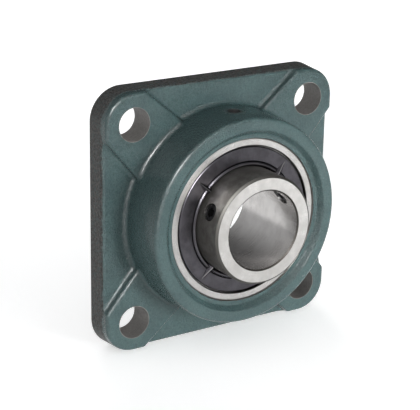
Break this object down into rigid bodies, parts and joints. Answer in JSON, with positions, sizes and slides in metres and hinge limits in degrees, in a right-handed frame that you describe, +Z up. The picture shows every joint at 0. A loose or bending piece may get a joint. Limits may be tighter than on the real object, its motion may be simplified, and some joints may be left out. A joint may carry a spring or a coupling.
{
  "type": "flange mount bearing",
  "caption": "Square-flange bearing unit: painted cast-iron housing with a self-aligning, sealed ball bearing insert locked to its shaft by set screws.",
  "frame": {"origin": "centre of the mounting face, on the shaft axis", "axes": "-Y along the shaft axis out of the unit's nose, +Z up through the grease port, +X to the right seen from the nose"},
  "size_m": [0.185, 0.071, 0.185],
  "materials": {
    "green_paint": "satin green enamel over fine sand-cast grey iron",
    "ground_steel": "ground bearing steel",
    "dark_plate": "dark phosphated pressed steel",
    "seal_rubber": "matte nitrile rubber",
    "seal_steel": "pressed steel",
    "ball_steel": "polished bearing steel",
    "cage_steel": "pressed steel",
    "screw_steel": "black oxide",
    "pin_steel": "hardened steel"
  },
  "bodies": {
    "housing": {"housing": "green_paint"},
    "stop_pin": {"stop_pin": "pin_steel"},
    "outer_ring": {"outer_ring": "ground_steel", "front_seal_core": "seal_steel", "front_seal_rubber": "seal_rubber", "back_seal_core": "seal_steel", "back_seal_rubber": "seal_rubber"},
    "inner_ring": {"inner_ring": "ground_steel", "front_slinger": "dark_plate", "back_slinger": "dark_plate"},
    "cage": {"cage_front": "cage_steel", "cage_back": "cage_steel", "cage_rivets": "cage_steel"},
    "ball_1": {"ball_1": "ball_steel"},
    "ball_2": {"ball_2": "ball_steel"},
    "ball_3": {"ball_3": "ball_steel"},
    "ball_4": {"ball_4": "ball_steel"},
    "ball_5": {"ball_5": "ball_steel"},
    "ball_6": {"ball_6": "ball_steel"},
    "ball_7": {"ball_7": "ball_steel"},
    "ball_8": {"ball_8": "ball_steel"},
    "set_screw_1": {"set_screw_1": "screw_steel"},
    "set_screw_2": {"set_screw_2": "screw_steel"}
  },
  "joints": [
    {"name": "align_pitch", "type": "hinge", "parent": "housing", "child": "stop_pin", "pos_m": [0, -0.03, 0], "axis": [1, 0, 0], "range_deg": [-2, 2]},
    {"name": "align_yaw", "type": "hinge", "parent": "stop_pin", "child": "outer_ring", "pos_m": [0, -0.03, 0], "axis": [0, 0, 1], "range_deg": [-2, 2]},
    {"name": "shaft_spin", "type": "hinge", "parent": "outer_ring", "child": "inner_ring", "pos_m": [0, -0.03, 0], "axis": [0, -1, 0], "continuous": true},
    {"name": "cage_spin", "type": "hinge", "parent": "outer_ring", "child": "cage", "pos_m": [0, -0.03, 0], "axis": [0, -1, 0], "continuous": true},
    {"name": "ball_1_spin", "type": "hinge", "parent": "cage", "child": "ball_1", "pos_m": [0.04375, -0.03, 0], "axis": [0, -1, 0], "continuous": true},
    {"name": "ball_2_spin", "type": "hinge", "parent": "cage", "child": "ball_2", "pos_m": [0.03094, -0.03, 0.03094], "axis": [0, -1, 0], "continuous": true},
    {"name": "ball_3_spin", "type": "hinge", "parent": "cage", "child": "ball_3", "pos_m": [0, -0.03, 0.04375], "axis": [0, -1, 0], "continuous": true},
    {"name": "ball_4_spin", "type": "hinge", "parent": "cage", "child": "ball_4", "pos_m": [-0.03094, -0.03, 0.03094], "axis": [0, -1, 0], "continuous": true},
    {"name": "ball_5_spin", "type": "hinge", "parent": "cage", "child": "ball_5", "pos_m": [-0.04375, -0.03, 0], "axis": [0, -1, 0], "continuous": true},
    {"name": "ball_6_spin", "type": "hinge", "parent": "cage", "child": "ball_6", "pos_m": [-0.03094, -0.03, -0.03094], "axis": [0, -1, 0], "continuous": true},
    {"name": "ball_7_spin", "type": "hinge", "parent": "cage", "child": "ball_7", "pos_m": [0, -0.03, -0.04375], "axis": [0, -1, 0], "continuous": true},
    {"name": "ball_8_spin", "type": "hinge", "parent": "cage", "child": "ball_8", "pos_m": [0.03094, -0.03, -0.03094], "axis": [0, -1, 0], "continuous": true},
    {"name": "set_screw_1_travel", "type": "slide", "parent": "inner_ring", "child": "set_screw_1", "axis": [0.9171, 0, -0.3987], "range_m": [-0.003, 0.00035]},
    {"name": "set_screw_2_travel", "type": "slide", "parent": "inner_ring", "child": "set_screw_2", "axis": [-0.8039, 0, -0.5948], "range_m": [-0.003, 0.00035]}
  ],
  "couplings": [
    {"joint": "cage_spin", "follows": "shaft_spin", "ratio": 0.38207},
    {"joint": "ball_1_spin", "follows": "shaft_spin", "ratio": -2.0019},
    {"joint": "ball_2_spin", "follows": "shaft_spin", "ratio": -2.0019},
    {"joint": "ball_3_spin", "follows": "shaft_spin", "ratio": -2.0019},
    {"joint": "ball_4_spin", "follows": "shaft_spin", "ratio": -2.0019},
    {"joint": "ball_5_spin", "follows": "shaft_spin", "ratio": -2.0019},
    {"joint": "ball_6_spin", "follows": "shaft_spin", "ratio": -2.0019},
    {"joint": "ball_7_spin", "follows": "shaft_spin", "ratio": -2.0019},
    {"joint": "ball_8_spin", "follows": "shaft_spin", "ratio": -2.0019}
  ]
}
